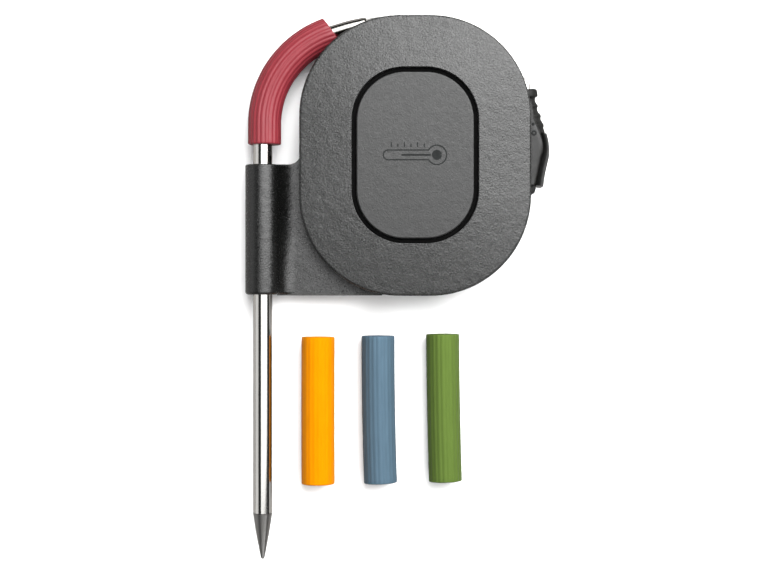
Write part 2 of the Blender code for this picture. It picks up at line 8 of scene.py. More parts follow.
import bmesh
import bpy
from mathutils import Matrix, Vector


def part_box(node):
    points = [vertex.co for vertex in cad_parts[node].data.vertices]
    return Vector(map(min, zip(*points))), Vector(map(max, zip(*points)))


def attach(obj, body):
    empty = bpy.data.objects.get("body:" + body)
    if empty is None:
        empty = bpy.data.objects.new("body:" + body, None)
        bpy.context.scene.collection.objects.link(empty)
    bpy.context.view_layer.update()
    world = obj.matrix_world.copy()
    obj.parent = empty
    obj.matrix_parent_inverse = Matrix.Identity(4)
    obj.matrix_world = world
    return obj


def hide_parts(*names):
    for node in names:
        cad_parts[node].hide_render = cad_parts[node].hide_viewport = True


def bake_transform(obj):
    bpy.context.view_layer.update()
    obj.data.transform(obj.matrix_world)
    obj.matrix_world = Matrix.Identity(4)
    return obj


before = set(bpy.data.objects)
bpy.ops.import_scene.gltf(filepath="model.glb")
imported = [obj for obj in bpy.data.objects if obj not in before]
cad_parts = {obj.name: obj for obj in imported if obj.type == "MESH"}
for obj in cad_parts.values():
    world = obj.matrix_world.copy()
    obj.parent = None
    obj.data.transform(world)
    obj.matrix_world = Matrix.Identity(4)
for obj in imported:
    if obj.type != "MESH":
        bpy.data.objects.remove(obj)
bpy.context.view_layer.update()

MM = 0.001
UP = Vector((0.0, 0.0, 1.0))


def box_mm(node):
    """Lowest and highest corner of a CAD node in millimetres."""
    low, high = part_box(node)
    return Vector(low) / MM, Vector(high) / MM


# Driving sizes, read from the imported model

FRONT_LOW, FRONT_HIGH = box_mm("front_flange")
CAP_LOW, CAP_HIGH = box_mm("center_cap")
REAR_HIGH = box_mm("rear_flange")[1]
DRUM_HIGH = box_mm("winding_drum")[1]
SHEATH_LOW, SHEATH_HIGH = box_mm("probe_sheath")
TIP_LOW, TIP_HIGH = box_mm("probe_tip")
PIN_LOW, PIN_HIGH = box_mm("jack_sleeve")

FLANGE_HALF = (FRONT_HIGH.x, FRONT_HIGH.y)
FLANGE_CORNER = FLANGE_HALF[0] - 4.0
GROOVE_WIDTH = 1.24
GROOVE_EDGE = 0.12
CAP_GROWTH = 0.12
CAP_HALF = (CAP_HIGH.x + CAP_GROWTH, CAP_HIGH.y + CAP_GROWTH)
CAP_CORNER = 12.5
POCKET_HALF = (CAP_HALF[0] + GROOVE_WIDTH, CAP_HALF[1] + GROOVE_WIDTH)
POCKET_CORNER = CAP_CORNER + GROOVE_WIDTH
POCKET_FLOOR = CAP_LOW.z - 0.3
RIM_TOP = FRONT_HIGH.z - 0.9
RIM_EDGE = 0.65
REAR_TOP = 2.4
FOOT_TOP = 6.5
FOOT_FILLET = 4.9
FOOT_LOW = -36.0
FOOT_LEFT = -38.0
FOOT_SHOULDER = -2.1
NOTCH = (-33.25, 1.4)
NOTCH_R = 3.5
HOLDER_HIGH = -2.0
HOLDER_BORE = 2.8
DRUM_HALF = (DRUM_HIGH.x, DRUM_HIGH.y)
DRUM_CORNER = 12.0

MID = (SHEATH_LOW.z + SHEATH_HIGH.z) / 2
PROBE_R = (SHEATH_HIGH.z - SHEATH_LOW.z) / 2
TUBE_WALL = 0.35
PROBE_X = (TIP_LOW.x + TIP_HIGH.x) / 2
TIP_END = TIP_LOW.y
TIP_BASE = SHEATH_LOW.y - 0.3
BEND_Y = 8.65
BEND_R = 25.7
SHEATH_TURN = 63.0
SLEEVE_TURN = 73.2
SLEEVE_LEAN = 0.5
SLEEVE_START = 3.3
SLEEVE_R = 4.4
SPARE_LENGTH = 39.0
SPARE_BORE = 2.35
RIBS = 22
CABLE_R = 1.25
CRIMP_R = 1.8
COLUMN_LOW = 3.9
COLUMN_HIGH = 11.1
PIN_Y = (PIN_LOW.y + PIN_HIGH.y) / 2
PIN_R = (PIN_HIGH.z - PIN_LOW.z) / 2
PLUG_FACE = 12.0
MERGE_M = 1e-7


# Mesh helpers

def finish_mesh(name, data, body, mat, sharp=35.0, weighted=False):
    """Turn bmesh data into a piece with its material, riding on its body."""
    bmesh.ops.recalc_face_normals(data, faces=data.faces)
    mesh = bpy.data.meshes.new(name)
    data.to_mesh(mesh)
    data.free()
    mesh.shade_smooth()
    mesh.set_sharp_from_angle(angle=math.radians(sharp))
    mesh.materials.append(mat)
    piece = bpy.data.objects.new(name, mesh)
    bpy.context.collection.objects.link(piece)
    if weighted:
        step = piece.modifiers.new("weighted_normals", "WEIGHTED_NORMAL")
        step.keep_sharp = True
        step.weight = 90
    if body:
        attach(piece, body)
    return piece


def add_loft(data, rings, cap=True):
    """Skin rings of equal length in millimetres; cap closes both ends."""
    loops = [[data.verts.new(Vector(p) * MM) for p in ring] for ring in rings]
    count = len(rings[0])
    for low, high in zip(loops, loops[1:]):
        for i in range(count):
            j = (i + 1) % count
            data.faces.new((low[i], low[j], high[j], high[i]))
    if cap:
        data.faces.new(loops[0])
        data.faces.new(loops[-1])
    return loops


def add_pipe(data, outer, inner):
    """Skin an open-ended pipe through outer rings and inner rings."""
    rings = outer + inner[::-1] + outer[:1]
    loops = [[data.verts.new(Vector(p) * MM) for p in ring] for ring in rings[:-1]]
    loops.append(loops[0])
    count = len(rings[0])
    for low, high in zip(loops, loops[1:]):
        for i in range(count):
            j = (i + 1) % count
            data.faces.new((low[i], low[j], high[j], high[i]))


def add_bored(data, outer, bore):
    """Skin a piece with a bore through it, its flat ends filled around the hole."""
    loops = add_loft(data, outer, cap=False)
    holes = add_loft(data, bore, cap=False)
    for k in (0, -1):
        edges = []
        for loop in (loops[k], holes[k]):
            edges += [data.edges.get((loop[i - 1], loop[i])) for i in range(len(loop))]
        bmesh.ops.triangle_fill(data, edges=edges, use_beauty=True)


def rounded(half, corner, shrink=0.0, steps=28):
    """Rounded rectangle as (x, y) pairs, anticlockwise from the right side."""
    half_x = half[0] - shrink
    half_y = half[1] - shrink
    radius = corner - shrink
    points = []
    for quarter, (sx, sy) in enumerate(((1, 1), (-1, 1), (-1, -1), (1, -1))):
        cx = sx * (half_x - radius)
        cy = sy * (half_y - radius)
        for i in range(steps + 1):
            turn = math.radians(90.0 * (quarter + i / steps))
            points.append((cx + radius * math.cos(turn), cy + radius * math.sin(turn)))
    return points


def offset(points, amount):
    """Move a closed anticlockwise outline outwards by an amount, corner by corner."""
    moved = []
    count = len(points)
    for i, (x, y) in enumerate(points):
        before = points[i - 1]
        after = points[(i + 1) % count]
        first = Vector((x - before[0], y - before[1])).normalized()
        second = Vector((after[0] - x, after[1] - y)).normalized()
        side = Vector((first.y + second.y, -first.x - second.x)).normalized()
        stretch = 1.0 / max(0.6, side.dot(Vector((first.y, -first.x))))
        moved.append((x + side.x * amount * stretch, y + side.y * amount * stretch))
    return moved


def between(a, b, share, z):
    """Point at height z, a share of the way from a to b."""
    return (a[0] + (b[0] - a[0]) * share, a[1] + (b[1] - a[1]) * share, z)


def edge_profile(edge, steps=5):
    """(inset, drop) pairs of a quarter-round edge, from the flat face to the wall."""
    pairs = []
    for i in range(steps + 1):
        turn = 0.5 * math.pi * i / steps
        pairs.append((edge * (1.0 - math.sin(turn)), edge * (1.0 - math.cos(turn))))
    return pairs


def plate_rings(points, low, high, edge):
    """Rings of a flat plate with rounded edges on both faces."""
    rings = []
    for inset, drop in edge_profile(edge):
        rings.append([(x, y, low + drop) for x, y in offset(points, -inset)])
    for inset, drop in edge_profile(edge)[::-1]:
        rings.append([(x, y, high - drop) for x, y in offset(points, -inset)])
    return rings


def smooth_curve(points, per_span=8):
    """Catmull-Rom curve through points of any dimension."""
    knots = [Vector(p) for p in points]
    count = len(knots)
    made = []
    for k in range(count - 1):
        b = knots[k]
        c = knots[k + 1]
        a = knots[k - 1] if k else b * 2 - c
        d = knots[k + 2] if k + 2 < count else c * 2 - b
        for i in range(per_span):
            t = i / per_span
            made.append(0.5 * ((2 * b) + (c - a) * t + (2 * a - 5 * b + 4 * c - d) * t * t
                               + (3 * b - a - 3 * c + d) * t ** 3))
    made.append(knots[-1])
    return made


def turned(profile, start, along, count=64):
    """Rings of a turned piece: (place, radius) pairs from start along a direction."""
    axis = Vector(along).normalized()
    side = axis.orthogonal().normalized()
    other = axis.cross(side)
    rings = []
    for place, radius in profile:
        centre = Vector(start) + axis * place
        ring = []
        for i in range(count):
            turn = 2.0 * math.pi * i / count
            ring.append(centre + (side * math.cos(turn) + other * math.sin(turn)) * radius)
        rings.append(ring)
    return rings


def flat_sweep(stations, radii):
    """Rings along a level route of (centre, tangent), one radius per point around."""
    rings = []
    count = len(radii)
    for centre, tangent in stations:
        side = Vector((tangent.y, -tangent.x, 0.0))
        ring = []
        for i, radius in enumerate(radii):
            turn = 2.0 * math.pi * i / count
            ring.append(centre + (side * math.cos(turn) + UP * math.sin(turn)) * radius)
        rings.append(ring)
    return rings


# Material helpers

class Paint:
    """A Principled material with short calls for its procedural nodes."""

    def __init__(self, name, colour, roughness, metallic=0.0):
        self.mat = bpy.data.materials.new(name)
        self.mat.use_nodes = True
        self.tree = self.mat.node_tree
        self.shader = self.tree.nodes["Principled BSDF"]
        self.shader.inputs["Base Color"].default_value = (*colour, 1.0)
        self.shader.inputs["Roughness"].default_value = roughness
        self.shader.inputs["Metallic"].default_value = metallic
        self.colour = colour
        self.height = None

    def node(self, kind, **values):
        """New node with its settings."""
        made = self.tree.nodes.new(kind)
        for key, value in values.items():
            setattr(made, key, value)
        return made

    def link(self, out, into):
        self.tree.links.new(out, into)

    def place(self, scale=(1.0, 1.0, 1.0)):
        """Position in the object's own frame, scaled axis by axis."""
        coordinates = self.node("ShaderNodeTexCoord")
        mapping = self.node("ShaderNodeMapping")
        mapping.inputs["Scale"].default_value = scale
        self.link(coordinates.outputs["Object"], mapping.inputs["Vector"])
        return mapping.outputs["Vector"]

    def noise(self, size_mm, detail=3.0, rough=0.55, stretch=(1.0, 1.0, 1.0)):
        """Noise whose features are about size_mm across."""
        made = self.node("ShaderNodeTexNoise")
        made.inputs["Scale"].default_value = 1.0 / (size_mm * MM)
        made.inputs["Detail"].default_value = detail
        made.inputs["Roughness"].default_value = rough
        self.link(self.place(stretch), made.inputs["Vector"])
        return made.outputs["Fac"]

    def ramp(self, value, low, high):
        """Map a value's range 0.3 to 0.7 to low to high."""
        made = self.node("ShaderNodeMapRange")
        made.inputs["From Min"].default_value = 0.3
        made.inputs["From Max"].default_value = 0.7
        made.inputs["To Min"].default_value = low
        made.inputs["To Max"].default_value = high
        self.link(value, made.inputs["Value"])
        return made.outputs["Result"]

    def math(self, operation, first, second):
        """Math node; each operand is a number or another node's output."""
        made = self.node("ShaderNodeMath", operation=operation)
        for slot, value in zip(made.inputs, (first, second)):
            if isinstance(value, (int, float)):
                slot.default_value = value
            else:
                self.link(value, slot)
        return made.outputs["Value"]

    def tint(self, factor, dark, light):
        """Base colour between two colours by a factor."""
        made = self.node("ShaderNodeMix", data_type="RGBA")
        made.inputs["A"].default_value = (*dark, 1.0)
        made.inputs["B"].default_value = (*light, 1.0)
        self.link(factor, made.inputs["Factor"])
        self.link(made.outputs["Result"], self.shader.inputs["Base Color"])

    def vary(self, size_mm, share, **options):
        """Base colour that wanders by a share around the main colour."""
        dark = [c * (1.0 - share) for c in self.colour]
        light = [min(1.0, c * (1.0 + share)) for c in self.colour]
        self.tint(self.ramp(self.noise(size_mm, **options), 0.0, 1.0), dark, light)

    def rough(self, size_mm, low, high, **options):
        """Roughness that wanders between two values."""
        value = self.ramp(self.noise(size_mm, **options), low, high)
        self.link(value, self.shader.inputs["Roughness"])

    def bump(self, value, depth_mm):
        """Relief of a given depth, on top of any relief added before."""
        made = self.node("ShaderNodeBump")
        made.inputs["Distance"].default_value = depth_mm * MM
        self.link(value, made.inputs["Height"])
        if self.height is not None:
            self.link(self.height, made.inputs["Normal"])
        self.height = made.outputs["Normal"]
        self.link(self.height, self.shader.inputs["Normal"])


def textured_plastic(name, colour, roughness, grain=0.42, depth=0.05, specular=0.5):
    """Black moulded plastic with a spark-eroded texture."""
    paint = Paint(name, colour, roughness)
    paint.shader.inputs["Specular IOR Level"].default_value = specular
    paint.vary(0.9, 0.35, detail=4.0)
    paint.rough(0.6, roughness - 0.06, roughness + 0.08)
    paint.bump(paint.noise(grain, detail=2.0, rough=0.7), depth)
    paint.bump(paint.noise(2.6, detail=1.0), depth * 0.8)
    return paint.mat


def silicone(name, colour, roughness=0.5, gloss=0.3, tinted=True):
    """Matte silicone with a faint bloom and dust marks; its shine may take its colour."""
    paint = Paint(name, colour, roughness)
    paint.shader.inputs["Specular IOR Level"].default_value = gloss
    if tinted:
        tint = [c / max(colour) for c in colour]
        paint.shader.inputs["Specular Tint"].default_value = (*tint, 1.0)
    paint.vary(1.6, 0.05, detail=4.0, stretch=(1.0, 0.25, 1.0))
    paint.rough(1.1, roughness - 0.07, roughness + 0.09, stretch=(1.0, 0.2, 1.0))
    paint.bump(paint.noise(0.35, detail=3.0), 0.012)
    return paint.mat


def polished_steel():
    """Drawn stainless tube with faint lengthwise polishing lines."""
    paint = Paint("probe_tube_steel", (0.54, 0.53, 0.51), 0.12, 1.0)
    paint.rough(0.5, 0.08, 0.16, stretch=(1.0, 0.04, 1.0))
    paint.vary(1.4, 0.05, stretch=(1.0, 0.05, 1.0))
    paint.bump(paint.noise(0.16, detail=2.0, stretch=(1.0, 0.02, 1.0)), 0.0012)
    return paint.mat


def ground_steel():
    """Ground tip, duller than the tube, with faint grinding marks."""
    paint = Paint("probe_point_steel", (0.235, 0.23, 0.222), 0.33, 1.0)
    paint.rough(0.8, 0.32, 0.34, stretch=(0.3, 1.0, 0.3))
    paint.vary(1.2, 0.03, stretch=(0.3, 1.5, 0.3))
    return paint.mat


def plain_metal(name, colour, roughness):
    """Plated or drawn metal with fine wear marks."""
    marks = 0.3
    paint = Paint(name, colour, roughness, 1.0)
    paint.rough(marks, roughness * 0.75, roughness * 1.35)
    paint.vary(marks * 3.0, 0.08)
    paint.bump(paint.noise(marks, detail=2.0), 0.003)
    return paint.mat


def braided_steel():
    """Cable sheathed in a fine steel braid: two sets of crossing strands."""
    paint = Paint("cable_braid", (0.62, 0.61, 0.59), 0.33, 0.9)
    layout = paint.node("ShaderNodeUVMap", uv_map="braid")
    split = paint.node("ShaderNodeSeparateXYZ")
    paint.link(layout.outputs["UV"], split.inputs["Vector"])
    around = split.outputs["X"]
    along = split.outputs["Y"]
    waves = []
    for sign in (1.0, -1.0):
        slant = paint.math("ADD", paint.math("MULTIPLY", around, 12.0 * sign), along)
        wave = paint.math("SINE", paint.math("MULTIPLY", slant, 2.0 * math.pi), 0.0)
        waves.append(paint.math("ABSOLUTE", wave, 0.0))
    weave = paint.math("MAXIMUM", waves[0], waves[1])
    # The braid turns dark in the pits where both strand sets dip, where the bump sinks: painted
    # shade.
    paint.tint(weave, (0.20, 0.19, 0.18), (0.74, 0.73, 0.71))
    paint.bump(weave, 0.06)
    return paint.mat


def ink():
    """Black print."""
    paint = Paint("cap_ink", (0.010, 0.011, 0.011), 0.6)
    paint.shader.inputs["Specular IOR Level"].default_value = 0.1
    paint.vary(0.4, 0.3)
    return paint.mat


# Wrap

def foot_outline(inner=False):
    """Outline of the back plate with its square foot, or of the foot's inner, thick part."""
    foot = []
    for i in range(13):
        turn = math.radians(-8.0 - 82.0 * i / 12)
        foot.append((NOTCH[0] + NOTCH_R * math.cos(turn), NOTCH[1] + NOTCH_R * math.sin(turn)))
    if inner:
        shrunk = rounded(FLANGE_HALF, FLANGE_CORNER, 1.5)
        corner = [p for p in shrunk if p[1] < 0.5 and p[0] < -9.0]
        front = FOOT_LOW - 0.04
        left = FOOT_LEFT + 2.0
        block = [(-9.0, front), (left, front), (left, FOOT_SHOULDER)]
        return foot[::-1] + [(-28.5, 1.0)] + corner + block
    foot += [(FOOT_LEFT, y) for y in (FOOT_SHOULDER, -20.0, FOOT_LOW)]
    foot += [(x, FOOT_LOW) for x in (-24.0, -16.0)]
    kept = [p for p in rounded(FLANGE_HALF, FLANGE_CORNER) if p[0] > -7.5 or p[1] > 0.9]
    split = max(i for i, p in enumerate(kept) if p[0] < 0.0) + 1
    return kept[:split] + foot + kept[split:]


def holder_profile():
    """Section of the probe holder as (x, z), running into the foot with a wide fillet."""
    radius = REAR_HIGH.z - MID
    reach = radius + FOOT_FILLET
    rise = FOOT_TOP + 0.01 + FOOT_FILLET - MID
    lean = math.asin(rise / reach)
    fillet_x = PROBE_X + reach * math.cos(lean)
    points = []
    for i in range(49):
        turn = lean + (math.pi - lean) * i / 48
        points.append((PROBE_X + radius * math.cos(turn), MID + radius * math.sin(turn)))
    left = PROBE_X - radius
    points += [(left, z) for z in (6.0, 4.5, 3.0, 1.6)]
    heel = [(left, 1.3), (left + 0.3, 0.6), (left + 1.0, 0.3)]
    points += [tuple(p) for p in smooth_curve(heel, 4)]
    points += [(x, 0.3) for x in (FOOT_LEFT, -34.0, fillet_x)]
    points.append((fillet_x + 0.2, 3.0))
    for i in range(17):
        turn = -0.5 * math.pi - (0.5 * math.pi - lean) * i / 17
        z = MID + rise + FOOT_FILLET * math.sin(turn)
        points.append((fillet_x + FOOT_FILLET * math.cos(turn), z))
    return points


def make_back_plate(plastic):
    """Rear flange with its thick foot and the probe holder moulded on it."""
    data = bmesh.new()
    add_loft(data, plate_rings(foot_outline(), 0.0, REAR_TOP, 0.35))
    plate = finish_mesh("back_plate", data, "wrap", plastic, 40.0, True)
    data = bmesh.new()
    add_loft(data, plate_rings(foot_outline(True), 1.0, FOOT_TOP, 0.3))
    finish_mesh("foot_block", data, "wrap", plastic, 40.0, True)
    profile = holder_profile()
    low = FOOT_LOW - 0.1
    high = HOLDER_HIGH
    rings = []
    for inset, drop in edge_profile(0.75):
        rings.append([(x, low + drop, z) for x, z in offset(profile, -inset)])
    for inset, drop in edge_profile(0.45)[::-1]:
        rings.append([(x, high - drop, z) for x, z in offset(profile, -inset)])
    mouth = HOLDER_BORE + 0.15
    bore = [(low, mouth), (low + 0.35, HOLDER_BORE), (high - 0.35, HOLDER_BORE), (high, mouth)]
    holes = turned(bore, (PROBE_X, 0.0, MID), (0.0, 1.0, 0.0), 48)
    data = bmesh.new()
    add_bored(data, rings, holes)
    finish_mesh("probe_holder", data, "wrap", plastic, 40.0, True)
    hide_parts("rear_flange")


def make_front_shell(plastic):
    """Crowned front flange with its rounded rim and the groove around the cap."""
    rings = []
    for inset, drop in edge_profile(0.4):
        flange = rounded(FLANGE_HALF, FLANGE_CORNER, inset)
        rings.append([(x, y, FRONT_LOW.z + drop) for x, y in flange])
    for inset, drop in edge_profile(RIM_EDGE)[::-1]:
        flange = rounded(FLANGE_HALF, FLANGE_CORNER, inset)
        rings.append([(x, y, RIM_TOP - drop) for x, y in flange])
    outer = rounded(FLANGE_HALF, FLANGE_CORNER, RIM_EDGE)
    inner = rounded(POCKET_HALF, POCKET_CORNER, -GROOVE_EDGE)
    for i in range(1, 13):
        share = i / 12
        z = RIM_TOP + (FRONT_HIGH.z - RIM_TOP) * (1.12 * share - 0.12 * share * share)
        rings.append([between(a, b, share, z) for a, b in zip(outer, inner)])
    for inset, drop in edge_profile(GROOVE_EDGE)[1:]:
        rings.append([(x, y, FRONT_HIGH.z - drop)
                      for x, y in rounded(POCKET_HALF, POCKET_CORNER, -inset)])
    rings.append([(x, y, POCKET_FLOOR) for x, y in rounded(POCKET_HALF, POCKET_CORNER)])
    data = bmesh.new()
    add_loft(data, rings)
    shell = finish_mesh("front_shell", data, "wrap", plastic, 40.0, True)
    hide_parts("front_flange")


def make_cap(plastic, mark):
    """Flat cap in the groove, with a printed pictogram of a thermometer."""
    rings = []
    for inset, drop in edge_profile(0.35):
        rings.append([(x, y, CAP_HIGH.z - drop) for x, y in rounded(CAP_HALF, CAP_CORNER, inset)])
    rings.append([(x, y, CAP_LOW.z) for x, y in rounded(CAP_HALF, CAP_CORNER)])
    data = bmesh.new()
    add_loft(data, rings)
    cap = finish_mesh("cap_plate", data, "wrap", plastic, 40.0, True)
    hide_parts("center_cap")
    data = bmesh.new()
    for outline, width in pictogram():
        add_stroke(data, outline, width)
    finish_mesh("cap_pictogram", data, "wrap", mark)


def pictogram():
    """Strokes of a plain thermometer lying on its side, with its scale."""
    strokes = []
    bulb = 2.5
    bulb_x = 5.6
    tube = 1.25
    tube_x = -7.0
    dot = 0.65
    opening = math.asin(tube / bulb)
    outline = []
    for i in range(33):
        turn = math.pi - opening - (2.0 * math.pi - 2.0 * opening) * i / 32
        outline.append((bulb_x + bulb * math.cos(turn), bulb * math.sin(turn)))
    for i in range(17):
        turn = -0.5 * math.pi - math.pi * i / 16
        outline.append((tube_x + tube * math.cos(turn), tube * math.sin(turn)))
    strokes.append((outline + outline[:1], 0.34))
    strokes.append(([(-3.6, 0.0), (4.0, 0.0)], 0.5))
    disc = []
    for i in range(25):
        turn = math.pi * i / 12
        disc.append((bulb_x + dot * math.cos(turn), dot * math.sin(turn)))
    strokes.append((disc, 2.0 * dot))
    for i in range(6):
        x = -6.2 + 1.7 * i
        strokes.append(([(x, 2.0), (x, 2.9 if i % 2 else 3.3)], 0.3))
    return strokes


def add_stroke(data, path, width):
    """Flat printed line of a given width just above the cap."""
    z = CAP_HIGH.z + 0.012
    sides = []
    closed = path[0] == path[-1]
    before_all = [path[-2] if closed else path[0]] + path[:-1]
    after_all = path[1:] + [path[1] if closed else path[-1]]
    for (x, y), before, after in zip(path, before_all, after_all):
        along = Vector((after[0] - before[0], after[1] - before[1])).normalized()
        side = Vector((-along.y, along.x)) * width / 2
        sides.append([data.verts.new(Vector((x + s * side.x, y + s * side.y, z)) * MM)
                      for s in (1.0, -1.0)])
    for a, b in zip(sides, sides[1:]):
        data.faces.new((a[0], a[1], b[1], b[0]))


def make_groove_ring(rubber_and_groove_shade):
    """Near-black ring that fills the bottom of the groove: painted shade that keeps the groove
    dark.
    """
    inner = rounded(CAP_HALF, CAP_CORNER, -0.06)
    outer = rounded(POCKET_HALF, POCKET_CORNER, 0.06)
    section = [(0.0, 0.05), (0.0, 0.3), (0.25, 0.42), (0.5, 0.45)]
    section += [(0.75, 0.42), (1.0, 0.3), (1.0, 0.05)]
    rings = []
    for share, rise in section:
        z = POCKET_FLOOR + rise
        rings.append([between(a, b, share, z) for a, b in zip(inner, outer)])
    data = bmesh.new()
    add_loft(data, rings + rings[:1], cap=False)
    bmesh.ops.remove_doubles(data, verts=data.verts, dist=MERGE_M)
    finish_mesh("groove_ring", data, "wrap", rubber_and_groove_shade, 60.0)


def make_screws(zinc):
    """Back screws with a rounded head and a hexagon socket."""
    for k in range(1, 5):
        node = "back_screw_%d" % k
        low, high = box_mm(node)
        x = (low.x + high.x) / 2
        y = (low.y + high.y) / 2
        head = (high.x - low.x) / 2
        socket = 0.85 * math.cos(math.radians(30.0))
        hexagon = []
        for i in range(48):
            turn = math.radians(i * 7.5)
            reach = socket / math.cos(math.radians((i * 7.5) % 60.0 - 30.0))
            hexagon.append((x + reach * math.cos(turn), y + reach * math.sin(turn)))
        rings = [[(px, py, low.z + 0.65) for px, py in hexagon]]
        rings.append([(px, py, low.z + 0.04) for px, py in hexagon])
        dome = [(0.02, 1.05), (0.0, 1.2), (0.06, 1.35), (0.18, head - 0.14), (0.4, head)]
        dome.append((1.0, head))
        dome += [(1.0, 0.75), (high.z - low.z - 0.5, 0.75), (high.z - low.z, 0.25)]
        for drop, radius in dome:
            ring = []
            for i in range(48):
                turn = math.radians(i * 7.5)
                px = x + radius * math.cos(turn)
                py = y + radius * math.sin(turn)
                ring.append((px, py, low.z + drop))
            rings.append(ring)
        data = bmesh.new()
        add_loft(data, rings)
        screw = finish_mesh("back_screw_head_%d" % k, data, "wrap", zinc, 30.0)
        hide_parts(node)


# Cable

def winding_point(turn, out, z):
    """Point wound around the drum: turn 0 is the right side's middle, anticlockwise."""
    flat_x = 2.0 * (DRUM_HALF[0] - DRUM_CORNER)
    flat_y = 2.0 * (DRUM_HALF[1] - DRUM_CORNER)
    arc = 0.5 * math.pi * (DRUM_CORNER + 5.0)
    spans = [flat_y / 2, arc, flat_x, arc, flat_y, arc, flat_x, arc, flat_y / 2]
    starts = [(1, 0), (1, 1), (1, 1), (-1, 1), (-1, 1), (-1, -1), (-1, -1), (1, -1), (1, -1)]
    ends = starts[1:] + [(1, 0)]
    travel = (turn % 1.0) * sum(spans)
    part = 0
    while travel > spans[part] and part < 8:
        travel -= spans[part]
        part += 1
    share = travel / spans[part]
    core_x = flat_x / 2 * (starts[part][0] * (1 - share) + ends[part][0] * share)
    core_y = flat_y / 2 * (starts[part][1] * (1 - share) + ends[part][1] * share)
    angle = 0.5 * math.pi * ((part // 2) + (share if part % 2 else 0.0))
    radius = DRUM_CORNER + out
    return Vector((core_x + radius * math.cos(angle), core_y + radius * math.sin(angle), z))


# Turn, distance out from the drum's wall, height: inwards low, outwards high.
WINDING = [
    (0.115, 12.0, 7.5), (0.15, 11.0, 6.6), (0.20, 9.9, 5.0), (0.27, 8.9, COLUMN_LOW),
    (1.27, 6.3, COLUMN_LOW), (2.27, 3.7, COLUMN_LOW), (3.05, 1.5, COLUMN_LOW),
    (3.25, 1.45, COLUMN_HIGH), (4.25, 4.1, COLUMN_HIGH), (5.25, 6.75, COLUMN_HIGH),
    (6.0, 8.7, COLUMN_HIGH), (6.08, 9.4, 10.2), (6.14, 11.2, 8.6), (6.18, 12.6, 7.6),
]


def winding_route(count=560):
    """Wound length of the cable with its steps between turns rounded off."""
    first = WINDING[0][0]
    last = WINDING[-1][0]
    made = []
    for i in range(count + 1):
        turn = first + (last - first) * i / count
        k = max(n for n in range(len(WINDING) - 1) if WINDING[n][0] <= turn)
        low = WINDING[k]
        high = WINDING[k + 1]
        share = (turn - low[0]) / (high[0] - low[0])
        eased = share * share * (3.0 - 2.0 * share) if high[0] - low[0] < 0.3 else share
        out = low[1] + (high[1] - low[1]) * share
        z = low[2] + (high[2] - low[2]) * eased
        made.append(winding_point(turn, out, z))
    return relax(made, 6)


def relax(points, rounds):
    """Average each inner point with its neighbours a few times."""
    for _ in range(rounds):
        inner = [(a + b * 2 + c) / 4 for a, b, c in zip(points, points[1:], points[2:])]
        points = [points[0]] + inner + [points[-1]]
    return points


def make_cord(name, points, radius, mat, body, count=20):
    """Round cable along points, with its braid laid out around and along it."""
    data = bmesh.new()
    layout = data.loops.layers.uv.new("braid")
    side = UP
    loops = []
    distance = 0.0
    places = []
    for i, point in enumerate(points):
        before = points[max(i - 1, 0)]
        after = points[min(i + 1, len(points) - 1)]
        tangent = (after - before).normalized()
        side = (side - tangent * side.dot(tangent)).normalized()
        other = tangent.cross(side)
        if i:
            distance += (point - points[i - 1]).length
        places.append(distance)
        ring = []
        for k in range(count):
            turn = 2 * math.pi * k / count
            out = side * math.cos(turn) + other * math.sin(turn)
            ring.append(data.verts.new((point + out * radius) * MM))
        loops.append(ring)
    pitch = 2.6 * radius
    for i in range(len(loops) - 1):
        for k in range(count):
            j = (k + 1) % count
            face = data.faces.new((loops[i][k], loops[i][j], loops[i + 1][j], loops[i + 1][k]))
            spots = ((k, i), (k + 1, i), (k + 1, i + 1), (k, i + 1))
            for corner, (around, along) in zip(face.loops, spots):
                corner[layout].uv = (around / count, places[along] / pitch)
    data.faces.new(loops[0][::-1])
    data.faces.new(loops[-1])
    return finish_mesh(name, data, body, mat, 60.0)


def make_cable(braid):
    """Wound cable, with the leads to the probe and to the plug."""
    top_run = [Vector((x, y, MID)) for x, y in ((8.6, 35.45), (4.0, 35.5), (0.0, 35.5))]
    wound = winding_route()
    path = wound + smooth_curve([wound[-1]] + top_run, 6)[1:]
    coil = make_cord("cable_coil", path, CABLE_R, braid, "wrap")
    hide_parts("cable_wound")
    spots = ((0.2, 35.5), (-4.0, 35.55), (-7.5, 35.65), (-10.2, 35.6))
    route = [Vector((x, y, MID)) for x, y in spots]
    route += [centre for centre, _ in crimp_route()[:2:-1]]
    lead = make_cord("cable_to_probe", smooth_curve(route, 10), CABLE_R, braid, None)
    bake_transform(lead)
    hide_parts("cable_lead_in")
    spots = ((30.43, 9.0), (29.88, 13.0), (29.2, 17.9), (28.75, 19.2))
    route = [Vector((x, y, MID)) for x, y in spots] + [wound[0]]
    route.append(wound[1] + (wound[1] - wound[0]) * 2)
    lead = make_cord("cable_to_plug", smooth_curve(route, 8), CABLE_R, braid, None)
    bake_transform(lead)
    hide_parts("cable_lead_out")


# Probe

def on_bend(degrees):
    """Centre and tangent on the probe's bend, counted from the end of its straight leg."""
    turn = math.radians(degrees)
    x = PROBE_X + BEND_R * (1.0 - math.cos(turn))
    y = BEND_Y + BEND_R * math.sin(turn)
    return Vector((x, y, MID)), Vector((math.sin(turn), math.cos(turn), 0.0))


def probe_route(start_y, turn_end, step_mm=1.2):
    """Level centre line of the bent probe as (centre, tangent) pairs."""
    stations = []
    steps = max(1, int(math.ceil((BEND_Y - start_y) / step_mm)))
    for i in range(steps):
        y = start_y + (BEND_Y - start_y) * i / steps
        stations.append((Vector((PROBE_X, y, MID)), Vector((0.0, 1.0, 0.0))))
    arcs = int(math.ceil(math.radians(turn_end) * BEND_R / step_mm))
    stations += [on_bend(turn_end * i / arcs) for i in range(arcs + 1)]
    return stations


